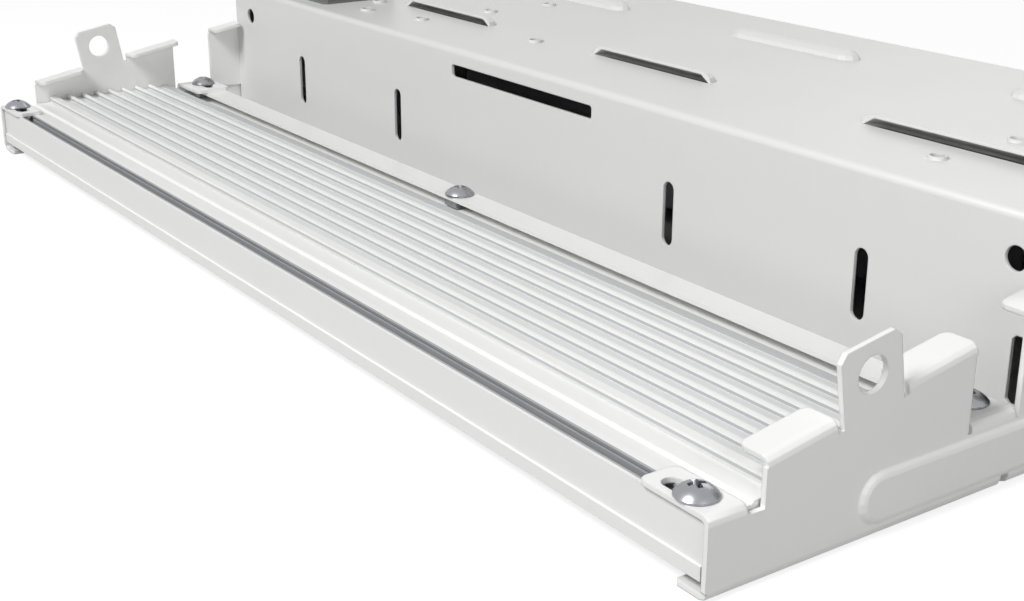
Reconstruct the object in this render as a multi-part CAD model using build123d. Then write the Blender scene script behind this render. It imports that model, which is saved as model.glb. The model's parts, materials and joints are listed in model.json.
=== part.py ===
from build123d import *
from math import atan, cos, degrees, radians, sin, sqrt, tan
import os

# Linear high bay light, lying as it would on a bench, light side down.
# Millimetres, +Z up. X runs along the light, Y across it, and Z is 0 at the underside of the end plates.
# The origin is under the middle of the gear box. "Front" is the -Y side, "right" is the +X end.
# Places across one module are given as u, measured inward from the outer edge of the end plate.

os.makedirs("parts", exist_ok=True)

# Overall sizes
length = 600.0
air_gap = 22.2
plate_sheet = 2.0
box_sheet = 1.5
end_gap = 1.0
small_sides = 8
hidden_sides = 6
bend_steps = 3
lip_bend_steps = 2
bead_steps = 8

# End plates: folded tabs, sloping flanges and hanging ears
bend_inside = 1.0
lip_reach = 13.0
lip_notch = 3.7
lip_notch_height = 4.1
lip_corner = 0.8
lip_inset = 0.5
tab_top = 26.5
tab_reach = 30.0
tab_corner = 2.5
outer_tab_width = 14.4
inner_tab_width = 20.6
inner_tab_overhang = 2.0
tab_relief = 2.0
shoulder_start = 20.7
shoulder_height = 38.5
inner_shoulder_gap = 3.2
slope_angle = 10.0
slope_flange_reach = 12.5
slope_flange_corner = 2.6
first_flange_length = 26.7
ear_start = 29.1
ear_width = 24.4
ear_height = 18.9
ear_chamfer = 2.6
ear_relief = 2.4
ear_hole = 12.0
ear_hole_height = 8.3
relief_depth = 1.6
web_height = 59.0
flange_to_box_gap = 2.5

# Stiffening bead pressed outward across both end plates
bead_start = 58.2
bead_width = 17.5
bead_centre_height = 13.3
bead_raise = 1.6
bead_taper = 45.0
bead_crown = 0.5
bead_crown_taper = 68.0

# Heat sink section
sink_outer_edge = 1.2
sink_inner_edge = 125.8
sink_bottom = 5.5
rim_thickness = 2.2
screw_channel_width = 5.2
screw_channel_depth = 11.0
channel_rim_width = 3.6
gutter_end = 18.3
gutter_drop = 0.6
shelf_start = 19.4
shelf_rise = 0.5
shelf_end = 27.9
rib_top = 28.2
rib_valley = 25.7
rib_crest = 1.0
rib_foot = 1.5
rib_ledge = 1.7
rib_ledge_height = 26.9
rib_pitch = 8.25
rib_count = 7
first_rib_centre = 38.9
broad_rib_start = 27.9
broad_rib_width = 3.6
broad_rib_drop = 0.1
last_rib_start = 96.2
last_rib_width = 3.5
last_rib_drop = 1.6
sink_ceiling = 21.8
nut_rail_width = 12.6
nut_rail_lip = 1.8
nut_rail_height = 4.0
nut_rail_floor = 2.0
inner_wall = 1.5
band_height = 4.6
band_raise = 0.7
band_wall = 2.4
groove_ledge = 2.5
groove_height = 2.3
groove_base = 1.5
lead_hole = 5.0
lead_hole_from_end = 30.0
lead_hole_height = 13.8
board_ledge = 1.8
board_ledge_thickness = 1.2
channel_teeth = (1.0,)
tooth_depth = 0.5
tooth_width = 1.0

# Lens and LED boards
lens_thickness = 2.0
lens_side_gap = 0.3
board_end_gap = 15.0
board_play = 0.2
board_thickness = 1.6
board_gap = 4.0
chip_size = 5.0
chip_height = 0.8
chip_rows = 2
chips_per_row = 4
chip_row_spacing = 36.0

# Gear box, pressed from one sheet, and the tray that closes it from below
box_width = 188.0
box_top = 81.6
box_bend = 3.0
box_fit = 0.15
tray_side = 12.0
slot_width = 6.5
slot_length = 27.3
slot_centre_height = 38.2
slots_from_end = (86.2, 192.0)
long_slot_length = 111.0
long_slot_width = 6.0
long_slot_height = 70.6
long_slot_corner = 2.0
wall_hole = 8.0
wall_hole_from_end = 21.7
wall_hole_height = 65.7
lead_opening_from_end = 19.5
lead_opening_bottom = 16.2
lead_opening_top = 40.4
lead_opening_corner = 1.5

# Louvres pressed up from the top in two rows that face away from each other
louvre_length = 83.5
louvre_depth = 7.5
louvre_height = 4.6
louvre_lip_place = 46.5
louvre_from_end = 51.0
louvre_from_mains_box = 28.1
louvres_per_row = 3
louvre_steps = (0.45, 0.84, 1.0)
louvre_inside_steps = (1.0,)

# LED drivers hung from collars drawn up in the top
driver_length = 340.0
driver_width = 38.0
driver_height = 64.0
driver_foot = 10.0
driver_foot_thickness = 1.5
driver_middle_from_end = 256.0
driver_offset = 20.0
spare_fixing_offset = 64.5
collar_outside = 7.6
collar_inside = 5.4
collar_height = 1.2
small_fixings = ((126.7, -73.2), (106.0, -53.5), (254.6, -51.2))

# Mains box on the top and terminal block under it
mains_length = 62.0
mains_width = 46.0
mains_height = 30.0
mains_from_end = 34.0
mains_from_side = 34.0
mains_wall = 2.5
mains_lid = 4.0
mains_foot_height = 1.3
mains_foot_spread = 0.8
mains_chamfer = 2.0
mains_screw_inset = 7.0
cable_opening = 18.0
gland_height = 14.0
gland_bore = 9.0
gland_thread = 15.0
gland_thread_length = 14.0
gland_collar = (20.0, 4.0)
gland_nut = (19.0, 14.0)
gland_locknut = (17.0, 3.0)
gland_end = 2.5
terminal_length = 40.0
terminal_width = 22.0
terminal_height = 20.0
terminal_wire_hole = 3.5
terminal_ways = 4
earth_from_end = 100.0
earth_y = 40.0

# Fasteners: head diameter, head height, shank diameter
module_screw = (13.5, 4.2, 5.0)
module_screw_from_end = 12.0
module_screw_hole = 6.6
tab_slot_length = 16.5
channel_screw_length = 10.5
rail_screw_length = 7.6
middle_screw_length = 5.4
rail_nut = (10.0, 3.2)
rail_screw_from_inner_edge = 7.0
middle_screw_x = -4.5
plate_screw = (9.5, 3.6, 5.0)
plate_screw_length = 10.0
plate_screw_offset = 60.0
plate_screw_height = 40.0
plate_nut = (8.0, 4.0)
tray_screw = (7.6, 2.0, 3.9)
tray_screw_length = 6.0
tray_screw_offset = 70.0
tray_screw_from_end = 7.0
tray_nut = (7.0, 3.2)
driver_screw = (9.0, 3.0, 4.8)
driver_screw_length = 3.0
small_screw = (5.5, 2.0, 2.4)
terminal_screw_length = 25.0
mains_screw_length = 8.0
earth_stud_length = 16.0
screw_play = 0.2

# Sizes worked out from the ones above
width = 2 * (sink_inner_edge + air_gap) + box_width
half = length / 2
plate_inside = half - plate_sheet
bend_outside = bend_inside + plate_sheet
inner_tab_start = sink_inner_edge + inner_tab_overhang - inner_tab_width
shoulder_end = inner_tab_start - tab_relief
inner_shoulder_start = sink_inner_edge + inner_shoulder_gap
sink_top = tab_top - plate_sheet
sink_length = length - 2 * plate_sheet - 2 * end_gap
box_length = length - 2 * plate_sheet
channel_start = sink_outer_edge + rim_thickness
channel_end = channel_start + screw_channel_width
channel_middle = channel_start + screw_channel_width / 2
rail_screw_u = sink_inner_edge - rail_screw_from_inner_edge
rail_underside = sink_top - nut_rail_lip
rail_floor = rail_underside - nut_rail_height
rail_base = rail_floor - nut_rail_floor
rail_start = sink_inner_edge - nut_rail_width
screw_x = half - module_screw_from_end
slope = radians(slope_angle)
tray_base = plate_sheet
box_base = tray_base + bend_inside
wall_face = box_width / 2
groove_bottom = sink_bottom + groove_base
lens_from = sink_outer_edge - band_raise + band_wall
lens_to = sink_inner_edge - inner_wall
cavity_start = channel_end + channel_rim_width
last_rib_end = last_rib_start + last_rib_width
cavity_end = last_rib_end - 2.0
board_middle = (cavity_start + cavity_end) / 2
board_length = (sink_length - board_gap) / 2 - board_end_gap
board_under = sink_ceiling - board_thickness
driver_top = box_top - box_sheet
driver_middle = half - driver_middle_from_end
driver_fixing_spacing = driver_length + driver_foot
mains_middle = mains_from_side - wall_face
louvre_first = mains_from_end + mains_length - half + louvre_from_mains_box + louvre_length / 2
louvre_last = half - louvre_from_end - louvre_length / 2
louvre_pitch = (louvre_last - louvre_first) / (louvres_per_row - 1)


def across(u):
    """Y of a place measured inward from the front edge of the end plate."""
    return u - width / 2


def on_slope(along, above):
    """u and height of a point on the sloping top edge of an end plate."""
    u = shoulder_start + along * cos(slope) - above * sin(slope)
    z = shoulder_height + along * sin(slope) + above * cos(slope)
    return u, z


def run_to(u):
    """Distance along the sloping edge to a given u."""
    return (u - shoulder_start) / cos(slope)


def slope_at(u, above=0.0):
    """Height of the sloping edge, or of a line square above it, at a given u."""
    return shoulder_height + (u - shoulder_start) * tan(slope) + above / cos(slope)


def yz_face(points):
    """A flat outline in the YZ plane from (u, height) points."""
    return make_face(Plane.YZ * Polyline(*[(across(u), z) for u, z in points], close=True))


def rear_copy(shape):
    """The mirror of a front piece, or of a list of them, on the rear side."""
    if isinstance(shape, list):
        return [mirror(piece, Plane.XZ) for piece in shape]
    return mirror(shape, Plane.XZ)


def prism(radius, height, sides):
    """An upright prism inside a circle of the given radius, standing on Z = 0."""
    return extrude(RegularPolygon(radius, sides), height)


def bore(radius, height, sides=small_sides):
    """An upright prism round a circle of the given radius, centred on the origin."""
    return Pos(0, 0, -height / 2) * extrude(RegularPolygon(radius, sides, major_radius=False), height)


def bore_down(radius, height, x, y, top, sides=hidden_sides):
    """A bore's cutter that ends at the given height."""
    return Pos(x, y, top - height / 2) * bore(radius, height, sides)


def slot_outline(slot_length, slot_width, steps=small_sides // 2):
    """A slot along X whose round ends have a few flats."""
    radius = slot_width / 2
    reach = slot_length / 2 - radius
    points = []
    for end in (1, -1):
        for k in range(steps + 1):
            angle = radians(-90 + 180 * k / steps)
            points.append((end * (reach + radius * cos(angle)), end * radius * sin(angle)))
    return make_face(Polyline(*points, close=True))


def chamfered_box(long, wide, tall, cut):
    """A box on Z = 0 with its upright edges cut off."""
    x, y = long / 2, wide / 2
    outline = Polyline((cut - x, -y), (x - cut, -y), (x, cut - y), (x, y - cut), (x - cut, y), (cut - x, y),
                       (-x, y - cut), (-x, cut - y), close=True)
    return extrude(make_face(outline), tall)


def domed_screw(sizes, shank_length):
    """A domed head above Z = 0 with its shank below."""
    head, head_height, shank = sizes
    dome = extrude(RegularPolygon(head / 2, small_sides), head_height, taper=38)
    return dome + Pos(0, 0, -shank_length) * prism(shank / 2, shank_length + 1, hidden_sides)


def pan_screw(sizes, shank_length):
    """A plain pan head above Z = 0, and its shank below."""
    head, head_height, shank = sizes
    top = prism(head / 2, head_height, small_sides)
    return top + Pos(0, 0, -shank_length) * prism(shank / 2, shank_length + 1, hidden_sides)


def quarter(x, y, radius, first, steps):
    """Points round a quarter circle, turning left from the given angle."""
    angles = [radians(first + 90 * k / steps) for k in range(steps + 1)]
    return [(x + radius * cos(a), y + radius * sin(a)) for a in angles]


def bent_strip(strip_width, reach, corner, corner_steps=2, steps=bend_steps):
    """A strip folded inward: the leg hangs at x <= 0, the top lies at z = 0, the width runs along +Y."""
    bend = -bend_outside
    leg = bend_outside + 1.0
    outer = quarter(bend, bend, bend_outside, 0, steps)
    inner = quarter(bend, bend, bend_inside, 0, steps)
    section = outer + [(bend - 1, 0), (bend - 1, -plate_sheet)] + inner[::-1]
    section += [(-plate_sheet, -leg), (0, -leg)]
    strip = extrude(make_face(Plane.XZ * Polyline(*section, close=True)), -strip_width)
    outline = [(bend, 0), (bend, strip_width)]
    outline += quarter(corner - reach, strip_width - corner, corner, 90, corner_steps)
    outline += quarter(corner - reach, corner, corner, 180, corner_steps)
    flat = extrude(make_face(Polyline(*outline, close=True)), plate_sheet)
    return strip + Pos(0, 0, -plate_sheet) * flat


def end_plate_half():
    """The front half of the right-hand end plate."""
    foot = yz_face([(0, bend_outside), (0, tab_top - bend_outside),
                    (width / 2, tab_top - bend_outside), (width / 2, bend_outside)])
    shoulder = yz_face([(shoulder_start, bend_outside),
                        (shoulder_start, slope_at(shoulder_start, -bend_outside)),
                        (shoulder_end, slope_at(shoulder_end, -bend_outside)),
                        (shoulder_end, bend_outside)])
    web_start = width / 2 - wall_face - flange_to_box_gap + 1.0
    inner = yz_face([(inner_shoulder_start, bend_outside),
                     (inner_shoulder_start, slope_at(inner_shoulder_start, -bend_outside)),
                     (web_start, slope_at(web_start, -bend_outside)),
                     (web_start, web_height), (width / 2, web_height), (width / 2, bend_outside)])
    ear = yz_face([on_slope(ear_start, -bend_outside - 1.5), on_slope(ear_start, ear_height - ear_chamfer),
                   on_slope(ear_start + ear_chamfer, ear_height),
                   on_slope(ear_start + ear_width - ear_chamfer, ear_height),
                   on_slope(ear_start + ear_width, ear_height - ear_chamfer),
                   on_slope(ear_start + ear_width, -bend_outside - 1.5)])
    blank = foot + shoulder + inner + ear
    plate = Pos(half - plate_sheet, 0, 0) * extrude(blank, plate_sheet, dir=(1, 0, 0))

    # Folded strips: two lips below, two tabs and three sloping flanges above
    lip_split = inner_shoulder_start - 3.4
    lip_end = lip_split - lip_notch / 2
    box_lip_start = lip_split + lip_notch / 2
    for start, end in ((lip_inset, lip_end), (box_lip_start, width / 2)):
        lip = bent_strip(end - start, lip_reach, lip_corner, 1, lip_bend_steps)
        plate += Pos(half, across(start), 0) * mirror(lip, Plane.XY)
    plate += Pos(half, across(0), tab_top) * bent_strip(outer_tab_width, tab_reach, tab_corner)
    plate += Pos(half, across(inner_tab_start), tab_top) * bent_strip(inner_tab_width, tab_reach, tab_corner)
    flange_three_end = width / 2 - wall_face - flange_to_box_gap
    runs = (
        (0.0, first_flange_length),
        (ear_start + ear_width + ear_relief, run_to(shoulder_end)),
        (run_to(inner_shoulder_start), run_to(flange_three_end)),
    )
    for start, end in runs:
        u, z = on_slope(start, 0)
        flange = bent_strip(end - start, slope_flange_reach, slope_flange_corner)
        plate += Pos(half, across(u), z) * Rot(slope_angle, 0, 0) * flange

    # Bend reliefs beside the tabs, flanges and ear, and the notch between the lips
    relief_floor = tab_top - bend_outside - 0.4
    reliefs = (
        (outer_tab_width, shoulder_start),
        (shoulder_end, inner_tab_start),
        (inner_tab_start + inner_tab_width, inner_shoulder_start),
    )
    for start, end in reliefs:
        plate -= Pos(half, across((start + end) / 2), relief_floor + 3) * Box(
            3 * plate_sheet, end - start, 6)
    for start, end in ((runs[0][1], ear_start), (ear_start + ear_width, runs[1][0])):
        u, z = on_slope((start + end) / 2, -bend_outside - relief_depth + 5)
        plate -= Pos(half, across(u), z) * Rot(slope_angle, 0, 0) * Box(3 * plate_sheet, end - start, 10)
    plate -= Pos(half - lip_reach / 2, across(lip_split), 0) * Box(
        lip_reach + 2, lip_notch, 2 * lip_notch_height)

    # Hanging hole in the ear
    u, z = on_slope(ear_start + ear_width / 2, ear_hole_height)
    plate -= Pos(half, across(u), z) * Rot(0, 90, 0) * Cylinder(ear_hole / 2, 4 * plate_sheet)

    # Slots in both tabs
    slot = extrude(slot_outline(tab_slot_length, module_screw_hole), 3 * plate_sheet, both=True)
    slot_x = screw_x + module_screw_hole / 2 - tab_slot_length / 2
    for u in (channel_middle, rail_screw_u):
        plate -= Pos(slot_x, across(u), tab_top) * slot

    # Screw holes for the gear box and its tray
    plate -= Pos(half, -plate_screw_offset, plate_screw_height) * Rot(0, 90, 0) * bore(
        plate_screw[2] / 2 + screw_play, 4 * plate_sheet, hidden_sides)
    tray_place = Pos(plate_inside - tray_screw_from_end, -tray_screw_offset, 0)
    plate -= tray_place * bore(tray_screw[2] / 2 + screw_play, 4 * plate_sheet, hidden_sides)
    return plate - tray_place * sunk_cone(tray_screw[0] / 2)


def sunk_cone(radius):
    """The cone of a countersunk head, its broad end down on Z = 0."""
    outline = RegularPolygon(radius, hidden_sides, major_radius=False)
    return extrude(outline, tray_screw[1], taper=40)


def end_plate():
    """The right-hand end plate: both halves and the bead pressed across them."""
    front = end_plate_half()
    plate = front + mirror(front, Plane.XZ)
    bead_length = width - 2 * bead_start

    def bead(x, inset, steps):
        outline = slot_outline(bead_length - 2 * inset, bead_width - 2 * inset, steps)
        return extrude(Plane.YZ.offset(x) * Pos(0, bead_centre_height) * outline, bead_raise - bead_crown,
                       taper=bead_taper)

    raised = bead(half, 0.0, bead_steps)
    plate += raised + extrude(raised.faces().sort_by(Axis.X)[-1], bead_crown, taper=bead_crown_taper)
    return plate - bead(half - plate_sheet, plate_sheet * 0.4, bead_steps // 2)


def sink_outline():
    """The heat sink's section, from the foot of the outer wall round over the ribs."""
    near_teeth = []
    for depth in channel_teeth:
        upper, lower = sink_top - depth, sink_top - depth - tooth_width
        near_teeth += [(channel_start, upper), (channel_start - tooth_depth, upper),
                       (channel_start - tooth_depth, lower), (channel_start, lower)]
    far_teeth = [(channel_start + channel_end - u, z) for u, z in near_teeth]
    points = [
        (sink_outer_edge - band_raise, sink_bottom),
        (sink_outer_edge - band_raise, sink_bottom + band_height),
        (sink_outer_edge, sink_bottom + band_height + 0.3),
        (sink_outer_edge, sink_top),
        (channel_start, sink_top),
    ] + near_teeth + [
        (channel_start, sink_top - screw_channel_depth),
        (channel_end, sink_top - screw_channel_depth),
    ] + far_teeth[::-1] + [
        (channel_end, sink_top),
        (cavity_start, sink_top),
        (gutter_end, sink_top - gutter_drop),
        (shelf_start, sink_top + shelf_rise),
        (shelf_end, sink_top + shelf_rise),
        (broad_rib_start, rib_top - broad_rib_drop),
        (broad_rib_start + broad_rib_width, rib_top - broad_rib_drop),
        (broad_rib_start + broad_rib_width, rib_valley),
    ]
    for k in range(rib_count):
        centre = first_rib_centre + k * rib_pitch
        points += [
            (centre - rib_foot / 2, rib_valley), (centre - rib_ledge / 2, rib_ledge_height),
            (centre - rib_crest / 2, rib_top), (centre + rib_crest / 2, rib_top),
            (centre + rib_ledge / 2, rib_ledge_height), (centre + rib_foot / 2, rib_valley),
        ]
    ledge = groove_bottom + groove_height
    shelf_top = board_under - screw_play / 2
    shelf_under = shelf_top - board_ledge_thickness
    points += [
        (last_rib_start, rib_valley), (last_rib_start, rib_top - last_rib_drop),
        (last_rib_end, rib_top - last_rib_drop), (last_rib_end, rail_floor),
        (sink_inner_edge - inner_wall, rail_floor), (sink_inner_edge - inner_wall, rail_underside),
        (rail_start, rail_underside), (rail_start, sink_top),
        (sink_inner_edge, sink_top), (sink_inner_edge, sink_bottom),
        (lens_to - groove_ledge, sink_bottom), (lens_to - groove_ledge, groove_bottom),
        (lens_to, groove_bottom), (lens_to, ledge),
        (lens_to - groove_ledge, ledge), (lens_to - groove_ledge, ledge + groove_base),
        (lens_to, ledge + groove_base), (lens_to, rail_base),
        (cavity_end, rail_base), (cavity_end, shelf_under), (cavity_end - board_ledge, shelf_under),
        (cavity_end - board_ledge, shelf_top), (cavity_end, shelf_top), (cavity_end, sink_ceiling),
        (cavity_start, sink_ceiling), (cavity_start, shelf_top), (cavity_start + board_ledge, shelf_top),
        (cavity_start + board_ledge, shelf_under), (cavity_start, shelf_under),
        (cavity_start, sink_top - screw_channel_depth - 2.0),
        (channel_start, sink_top - screw_channel_depth - 2.0), (channel_start, ledge + groove_base),
        (lens_from + groove_ledge, ledge + groove_base), (lens_from + groove_ledge, ledge),
        (lens_from, ledge), (lens_from, groove_bottom),
        (lens_from + groove_ledge, groove_bottom), (lens_from + groove_ledge, sink_bottom),
    ]
    return points


def heat_sink():
    """The front heat sink, one aluminium extrusion with its drilled holes."""
    sink = extrude(yz_face(sink_outline()), sink_length / 2, both=True)
    for x in (-screw_x, middle_screw_x, screw_x):
        sink -= bore_down(module_screw_hole / 2, 3, x, across(rail_screw_u), sink_top + 0.5)
    lead_x = half - lead_hole_from_end
    sink -= Pos(lead_x, across(sink_inner_edge), lead_hole_height) * Rot(90, 0, 0) * bore(
        lead_hole / 2, 4 * inner_wall, hidden_sides)
    return sink


def lead_grommet():
    """A rubber bush in the front sink's lead hole, with its collar on the outside."""
    bush = prism(lead_hole / 2 - 0.05, inner_wall + 0.5, hidden_sides)
    collar = Pos(0, 0, -1.5) * prism(lead_hole / 2 + 1.4, 1.5, small_sides)
    place = Pos(half - lead_hole_from_end, across(sink_inner_edge), lead_hole_height)
    return place * Rot(90, 0, 0) * (bush + collar - bore(lead_hole / 2 - 1.2, 8, small_sides))


def lens():
    """The front lens, slid into the grooves of the heat sink."""
    lens_width = lens_to - lens_from - 2 * lens_side_gap
    middle = (lens_from + lens_to) / 2
    return Pos(0, across(middle), groove_bottom + lens_thickness / 2) * Box(
        sink_length, lens_width, lens_thickness)


def led_board(side):
    """One front LED board, slid over the ledges; side is -1 for the left one and 1 for the right one."""
    x = side * (board_length + board_gap) / 2
    board_width = cavity_end - cavity_start - 2 * board_play
    return Pos(x, across(board_middle), board_under + board_thickness / 2) * Box(
        board_length, board_width, board_thickness)


def led_chips():
    """The LED packages on both front boards."""
    chips = []
    package = Box(chip_size, chip_size, chip_height)
    pitch = board_length / chips_per_row
    for board_x in (-(board_length + board_gap) / 2, (board_length + board_gap) / 2):
        for column in range(chips_per_row):
            x = board_x + (column - (chips_per_row - 1) / 2) * pitch
            for row in range(chip_rows):
                y = across(board_middle) + (row - (chip_rows - 1) / 2) * chip_row_spacing
                chips.append(Pos(x, y, board_under - chip_height / 2) * package)
    return chips


def wall_openings():
    """Cutters for the openings in the front wall of the gear box."""
    cutters = []
    upright = extrude(slot_outline(slot_length, slot_width), 2 * box_sheet, both=True)
    for from_end in slots_from_end:
        for x in (from_end - half, half - from_end):
            cutters.append(Pos(x, -wall_face, slot_centre_height) * Rot(90, 0, 0) * Rot(0, 0, 90) * upright)
    long_slot = chamfered_box(long_slot_length, long_slot_width, 4 * box_sheet, long_slot_corner / 2)
    cutters.append(Pos(0, -wall_face + 2 * box_sheet, long_slot_height) * Rot(90, 0, 0) * long_slot)
    for x in (wall_hole_from_end - half, half - wall_hole_from_end):
        cutters.append(Pos(x, -wall_face, wall_hole_height) * Rot(90, 0, 0) * bore(
            wall_hole / 2, 4 * box_sheet, small_sides))
    start = half - lead_opening_from_end
    cut = lead_opening_corner
    outline = Polyline((start, lead_opening_bottom + cut), (start + cut, lead_opening_bottom),
                       (half, lead_opening_bottom), (half, lead_opening_top),
                       (start + cut, lead_opening_top), (start, lead_opening_top - cut), close=True)
    opening = extrude(make_face(Plane.XZ * outline), box_sheet / 2 + 0.5, both=True)
    cutters.append(Pos(0, box_sheet / 2 - wall_face, 0) * opening)
    return cutters


def louvre_hood(depth, height, hood_length, steps):
    """Half a stadium dome with a few flats, open toward -Y, with its open edge on the X axis."""
    reach = hood_length / 2 - depth
    points = [(x + reach, y) for x, y in quarter(0, 0, depth, 0, 3)]
    points += [(x - reach, y) for x, y in quarter(0, 0, depth, 90, 3)]
    points += [(-x, -y) for x, y in points]
    base = make_face(Polyline(*points, close=True))
    dome = Part()
    low = 0.0
    for step in steps:
        inset = depth * (sqrt(1 - low * low) - sqrt(1 - min(step, 0.985) ** 2))
        rise = (step - low) * height
        layer = extrude(base, rise, taper=degrees(atan(inset / rise)))
        base = layer.faces().sort_by(Axis.Z)[-1]
        dome += layer
        low = step
    return dome & Pos(0, depth, height / 2) * Box(2 * hood_length, 2 * depth, 2 * height)


def gear_box():
    """The folded gear box: top, two long walls and an end flap at each end."""
    body_height = box_top - box_base
    outer = Pos(0, 0, box_base + body_height / 2) * Box(box_length, box_width, body_height)
    outer = fillet(outer.edges().filter_by(Axis.X).group_by(Axis.Z)[-1], box_bend)
    inner = Pos(0, 0, box_base + (body_height - box_sheet) / 2) * Box(
        box_length + 2, box_width - 2 * box_sheet, body_height - box_sheet)
    inner = fillet(inner.edges().filter_by(Axis.X).group_by(Axis.Z)[-1], box_bend - box_sheet)
    box = outer - inner
    flap_width = box_width - 2 * box_bend
    flap_base = box_base + box_sheet
    flap = Box(box_sheet, flap_width, box_top - box_sheet - flap_base)
    for side in (-1, 1):
        box += Pos(side * (box_length - box_sheet) / 2, 0, (box_top - box_sheet + flap_base) / 2) * flap

    for cutter in wall_openings():
        box -= cutter
        box -= mirror(cutter, Plane.XZ)

    # Louvres: a hood over an opening, in a front and a rear row
    hood = louvre_hood(louvre_depth, louvre_height, louvre_length, louvre_steps)
    hollow = louvre_hood(louvre_depth - box_sheet, louvre_height - box_sheet,
                         louvre_length - 2 * box_sheet, louvre_inside_steps)
    hollow += extrude(hollow.faces().sort_by(Axis.Z)[0], 2 * box_sheet)
    for k in range(louvres_per_row):
        x = louvre_first + k * louvre_pitch
        for piece, sign in ((hood, 1), (hollow, -1)):
            front = Pos(x, -louvre_lip_place, box_top) * piece
            rear = mirror(front, Plane.XZ)
            box = box + front + rear if sign > 0 else box - front - rear

    # Collars drawn up in the top: the drivers' fixings, the spare ones and three small ones
    for x, y in collar_places():
        box += Pos(x, y, box_top - box_sheet / 2) * prism(
            collar_outside / 2, collar_height + box_sheet / 2, small_sides)
        box -= bore_down(collar_inside / 2, 6, x, y, box_top + 3, small_sides)

    # Cable way under the mains box, and the end flaps' screw holes
    box -= Pos(mains_centre()[0], mains_centre()[1], box_top) * Box(cable_opening, cable_opening, 6)
    for x, y in mains_screw_places():
        box -= bore_down(small_screw[2] / 2 + 0.05, 6, x, y, box_top + 3)
    for x in (-half, half):
        for y in (-plate_screw_offset, plate_screw_offset):
            box -= Pos(x, y, plate_screw_height) * Rot(0, 90, 0) * bore(
                plate_screw[2] / 2 + screw_play, 14, hidden_sides)
    return box


def collar_places():
    """X and Y of every collar drawn up in the top of the gear box."""
    places = [(from_end - half, y) for from_end, y in small_fixings]
    for side in (-1, 1):
        x = driver_middle + side * driver_fixing_spacing / 2
        for offset in (driver_offset, spare_fixing_offset):
            places += [(x, -offset), (x, offset)]
    return places


def gear_tray():
    """The tray that closes the gear box from below, folded up on all four sides."""
    tray_width = box_width - 2 * box_sheet - 2 * box_fit
    tray_length = box_length - 2 * box_sheet - 2 * box_fit
    outer = Pos(0, 0, tray_base + tray_side / 2) * Box(tray_length, tray_width, tray_side)
    outer = chamfer(outer.edges().filter_by(Axis.X).group_by(Axis.Z)[0], box_sheet / 2)
    inner = Pos(0, 0, tray_base + box_sheet + tray_side / 2) * Box(
        tray_length - 2 * box_sheet, tray_width - 2 * box_sheet, tray_side)
    tray = outer - inner
    for x in (-plate_inside + tray_screw_from_end, plate_inside - tray_screw_from_end):
        for y in (-tray_screw_offset, tray_screw_offset):
            tray -= bore_down(tray_screw[2] / 2 + screw_play, 6, x, y, tray_base + 4)
    for x, y in terminal_screw_places():
        tray -= bore_down(small_screw[2] / 2 + 0.05, 6, x, y, tray_base + 4)
    return tray - bore_down(plate_screw[2] / 2 + 0.05, 6, earth_from_end - half, earth_y, tray_base + 4)


def led_driver():
    """The front LED driver, a sealed case with a fixing foot at each end."""
    case = Pos(0, 0, driver_top - driver_height / 2) * Box(driver_length, driver_width, driver_height)
    foot_length = driver_length + 2 * driver_foot
    driver = case + Pos(0, 0, driver_top - driver_foot_thickness / 2) * Box(
        foot_length, driver_width * 0.6, driver_foot_thickness)
    for side in (-1, 1):
        driver -= bore_down(driver_screw[2] / 2 + screw_play, 6, side * driver_fixing_spacing / 2, 0,
                            driver_top + 1)
    return Pos(driver_middle, -driver_offset, 0) * driver


def mains_centre():
    return mains_from_end + mains_length / 2 - half, mains_middle


def mains_screw_places():
    """Two screws that hold the mains box down, on its long centre line."""
    x, y = mains_centre()
    reach = mains_length / 2 - mains_screw_inset
    return [(x - reach, y), (x + reach, y)]


def mains_box():
    """The mains box's body, open under its lid and over the cable way."""
    x, y = mains_centre()
    body_height = mains_height - mains_lid
    body = chamfered_box(mains_length, mains_width, body_height, mains_chamfer)
    foot = chamfered_box(mains_length + 2 * mains_foot_spread, mains_width + 2 * mains_foot_spread,
                         mains_foot_height, mains_chamfer)
    hollow = Pos(0, 0, body_height / 2 + mains_wall) * Box(
        mains_length - 2 * mains_wall, mains_width - 2 * mains_wall, body_height)
    shell = body + foot - hollow - Box(cable_opening - 3, cable_opening - 3, 20)
    shell -= Pos(-mains_length / 2, 0, gland_height) * Rot(0, 90, 0) * bore(
        gland_thread / 2 + screw_play, 4 * mains_wall, small_sides)
    shell = Pos(x, y, box_top) * shell
    for screw_x_place, screw_y_place in mains_screw_places():
        shell -= bore_down(small_screw[2] / 2 + screw_play, 12, screw_x_place, screw_y_place, box_top + 8)
    return shell


def mains_lid_piece():
    """The lid of the mains box, pressed on with a locating rim."""
    x, y = mains_centre()
    lid = chamfered_box(mains_length, mains_width, mains_lid, mains_chamfer)
    lid = chamfer(lid.edges().group_by(Axis.Z)[-1], 0.8)
    rim_length = mains_length - 2 * mains_wall - 0.4
    rim_width = mains_width - 2 * mains_wall - 0.4
    rim = Pos(0, 0, -1.5) * (Box(rim_length, rim_width, 3) - Box(rim_length - 3, rim_width - 3, 4))
    return Pos(x, y, box_top + mains_height - mains_lid) * (lid + rim)


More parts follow.
